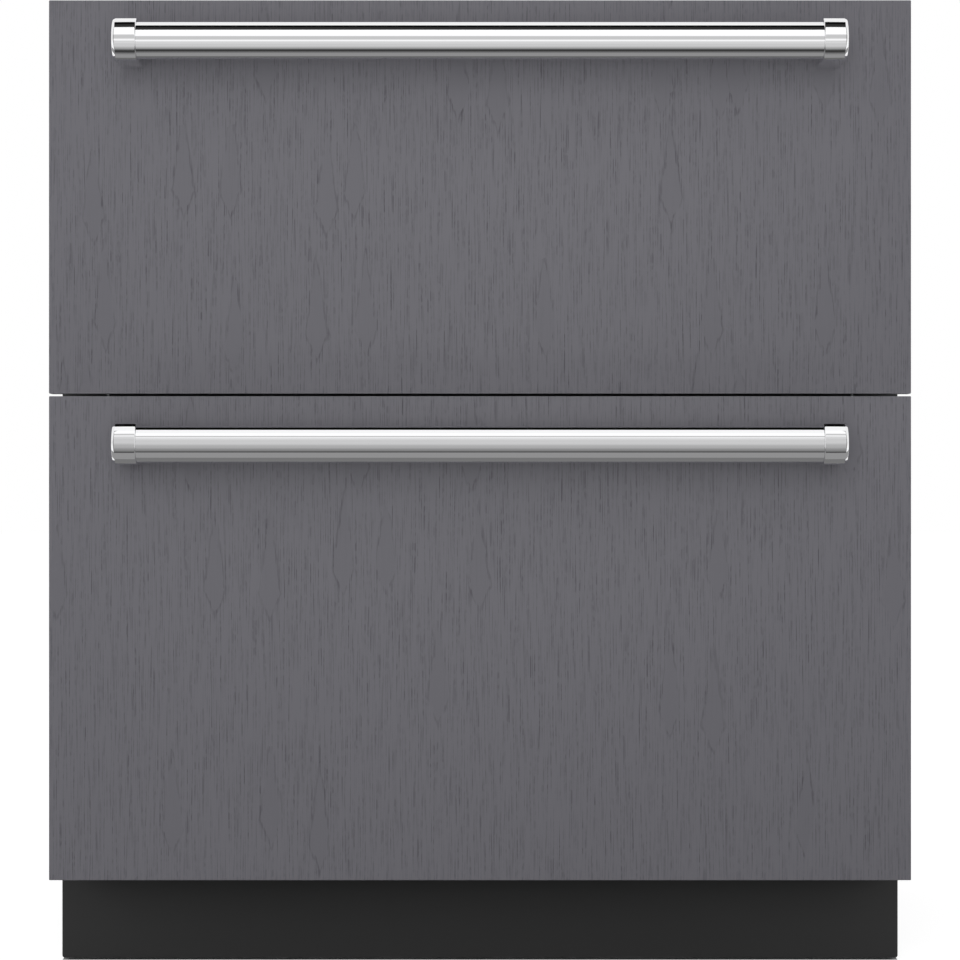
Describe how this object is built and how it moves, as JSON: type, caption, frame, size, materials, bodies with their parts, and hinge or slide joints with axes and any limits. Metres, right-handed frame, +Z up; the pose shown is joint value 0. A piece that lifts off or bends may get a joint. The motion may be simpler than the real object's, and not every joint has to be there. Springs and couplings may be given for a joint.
{
  "type": "undercounter drawer refrigerator",
  "caption": "Undercounter refrigerator with wood-grained drawer panels, polished bar handles and a recessed black kick plate.",
  "frame": {"origin": "centre of the outer box at floor level, with the drawers closed and the legs fully in", "axes": "+Z up, -Y out of the drawer panels, +X to the right for someone facing them"},
  "size_m": [0.756, 0.6732, 0.852],
  "materials": {
    "panel_wood": "stained open-pored wood grain, satin",
    "polished_steel": "polished",
    "kick_black": "matt black",
    "cabinet_paint": "satin grey",
    "rail_black": "satin black",
    "zinc_sheet": "zinc-coated sheet",
    "zinc_steel": "zinc-plated",
    "ball_steel": "polished balls in bright cages",
    "foam": "rigid foam",
    "liner_white": "semi-gloss",
    "front_grey": "satin",
    "bin_plastic": "frosted",
    "divider_plastic": "clear tint",
    "rubber": "matt",
    "black_plastic": "fine matt",
    "grey_plastic": "matt",
    "machine_black": "gloss black",
    "condenser_black": "black coated",
    "coil_aluminium": "mill finish",
    "copper": "dull copper",
    "light_lens": "frosted lens",
    "button_metal": "brushed caps"
  },
  "bodies": {
    "cabinet": {"left_side_panel": "cabinet_paint", "right_side_panel": "cabinet_paint", "top_panel": "cabinet_paint", "back_panel": "zinc_sheet", "base_pan": "zinc_sheet", "foam_insulation": "foam", "inner_liner": "liner_white", "front_rails": "rail_black", "evaporator_coil": "coil_aluminium", "evaporator_cover": "liner_white", "evaporator_fan_motor": "black_plastic", "compressor": "machine_black", "compressor_grommets": "rubber", "condenser_coil": "condenser_black", "condenser_fan_motor": "black_plastic", "drain_pan": "liner_white", "refrigerant_lines": "copper", "control_box": "grey_plastic", "rear_cover": "zinc_sheet", "cord_gland": "black_plastic", "kick_plate": "kick_black", "cabinet_screws": "zinc_steel", "counter_brackets": "zinc_steel", "control_panel": "black_plastic", "led_lights": "light_lens", "upper_slide_outer": "zinc_steel", "lower_slide_outer": "zinc_steel"},
    "colder_button": {"colder_button": "button_metal"},
    "condenser_fan": {"condenser_fan": "black_plastic"},
    "evaporator_fan": {"evaporator_fan": "black_plastic"},
    "leg_front_left": {"leg_front_left": "zinc_steel"},
    "leg_front_right": {"leg_front_right": "zinc_steel"},
    "leg_rear_left": {"leg_rear_left": "zinc_steel"},
    "leg_rear_right": {"leg_rear_right": "zinc_steel"},
    "power_button": {"power_button": "button_metal"},
    "warmer_button": {"warmer_button": "button_metal"},
    "upper_drawer": {"upper_slide_inner": "zinc_steel", "upper_drawer_panel": "panel_wood", "upper_drawer_front": "front_grey", "upper_gasket": "rubber", "upper_bin": "bin_plastic", "upper_handle_tube": "polished_steel", "upper_handle_brackets": "polished_steel", "upper_screws": "zinc_steel"},
    "upper_slide_middle": {"upper_slide_middle": "zinc_steel"},
    "upper_outer_bearings": {"upper_outer_bearings": "ball_steel"},
    "upper_inner_bearings": {"upper_inner_bearings": "ball_steel"},
    "upper_divider": {"upper_divider": "divider_plastic"},
    "lower_drawer": {"lower_slide_inner": "zinc_steel", "lower_drawer_panel": "panel_wood", "lower_drawer_front": "front_grey", "lower_gasket": "rubber", "lower_bin": "bin_plastic", "lower_handle_tube": "polished_steel", "lower_handle_brackets": "polished_steel", "lower_screws": "zinc_steel"},
    "lower_slide_middle": {"lower_slide_middle": "zinc_steel"},
    "lower_outer_bearings": {"lower_outer_bearings": "ball_steel"},
    "lower_inner_bearings": {"lower_inner_bearings": "ball_steel"},
    "lower_divider": {"lower_divider": "divider_plastic"}
  },
  "joints": [
    {"name": "evaporator_fan_spin", "type": "hinge", "parent": "cabinet", "child": "evaporator_fan", "pos_m": [0, 0.25164, 0.704], "axis": [0, 1, 0], "continuous": true},
    {"name": "condenser_fan_spin", "type": "hinge", "parent": "cabinet", "child": "condenser_fan", "pos_m": [0.0585, 0.24604, 0.1496], "axis": [1, 0, 0], "continuous": true},
    {"name": "power_press", "type": "slide", "parent": "cabinet", "child": "power_button", "axis": [0, 0, 1], "range_m": [0, 0.001], "stiffness_N_per_m": 150, "springref_m": -0.008},
    {"name": "colder_press", "type": "slide", "parent": "cabinet", "child": "colder_button", "axis": [0, 0, 1], "range_m": [0, 0.001], "stiffness_N_per_m": 150, "springref_m": -0.008},
    {"name": "warmer_press", "type": "slide", "parent": "cabinet", "child": "warmer_button", "axis": [0, 0, 1], "range_m": [0, 0.001], "stiffness_N_per_m": 150, "springref_m": -0.008},
    {"name": "leg_front_left_adjust", "type": "slide", "parent": "cabinet", "child": "leg_front_left", "axis": [0, 0, -1], "range_m": [0, 0.02]},
    {"name": "leg_front_right_adjust", "type": "slide", "parent": "cabinet", "child": "leg_front_right", "axis": [0, 0, -1], "range_m": [0, 0.02]},
    {"name": "leg_rear_left_adjust", "type": "slide", "parent": "cabinet", "child": "leg_rear_left", "axis": [0, 0, -1], "range_m": [0, 0.02]},
    {"name": "leg_rear_right_adjust", "type": "slide", "parent": "cabinet", "child": "leg_rear_right", "axis": [0, 0, -1], "range_m": [0, 0.02]},
    {"name": "upper_drawer_slide", "type": "slide", "parent": "cabinet", "child": "upper_drawer", "axis": [0, -1, 0], "range_m": [0, 0.4]},
    {"name": "upper_slide_middle_slide", "type": "slide", "parent": "cabinet", "child": "upper_slide_middle", "axis": [0, -1, 0], "range_m": [0, 0.2]},
    {"name": "upper_outer_bearings_slide", "type": "slide", "parent": "cabinet", "child": "upper_outer_bearings", "axis": [0, -1, 0], "range_m": [0, 0.1]},
    {"name": "upper_inner_bearings_slide", "type": "slide", "parent": "cabinet", "child": "upper_inner_bearings", "axis": [0, -1, 0], "range_m": [0, 0.3]},
    {"name": "upper_divider_slide", "type": "slide", "parent": "upper_drawer", "child": "upper_divider", "axis": [1, 0, 0], "range_m": [-0.27, 0.27]},
    {"name": "lower_drawer_slide", "type": "slide", "parent": "cabinet", "child": "lower_drawer", "axis": [0, -1, 0], "range_m": [0, 0.4]},
    {"name": "lower_slide_middle_slide", "type": "slide", "parent": "cabinet", "child": "lower_slide_middle", "axis": [0, -1, 0], "range_m": [0, 0.2]},
    {"name": "lower_outer_bearings_slide", "type": "slide", "parent": "cabinet", "child": "lower_outer_bearings", "axis": [0, -1, 0], "range_m": [0, 0.1]},
    {"name": "lower_inner_bearings_slide", "type": "slide", "parent": "cabinet", "child": "lower_inner_bearings", "axis": [0, -1, 0], "range_m": [0, 0.3]},
    {"name": "lower_divider_slide", "type": "slide", "parent": "lower_drawer", "child": "lower_divider", "axis": [1, 0, 0], "range_m": [-0.27, 0.27]}
  ],
  "couplings": [
    {"joint": "upper_slide_middle_slide", "follows": "upper_drawer_slide", "ratio": 0.5},
    {"joint": "upper_outer_bearings_slide", "follows": "upper_drawer_slide", "ratio": 0.25},
    {"joint": "upper_inner_bearings_slide", "follows": "upper_drawer_slide", "ratio": 0.75},
    {"joint": "lower_slide_middle_slide", "follows": "lower_drawer_slide", "ratio": 0.5},
    {"joint": "lower_outer_bearings_slide", "follows": "lower_drawer_slide", "ratio": 0.25},
    {"joint": "lower_inner_bearings_slide", "follows": "lower_drawer_slide", "ratio": 0.75}
  ]
}
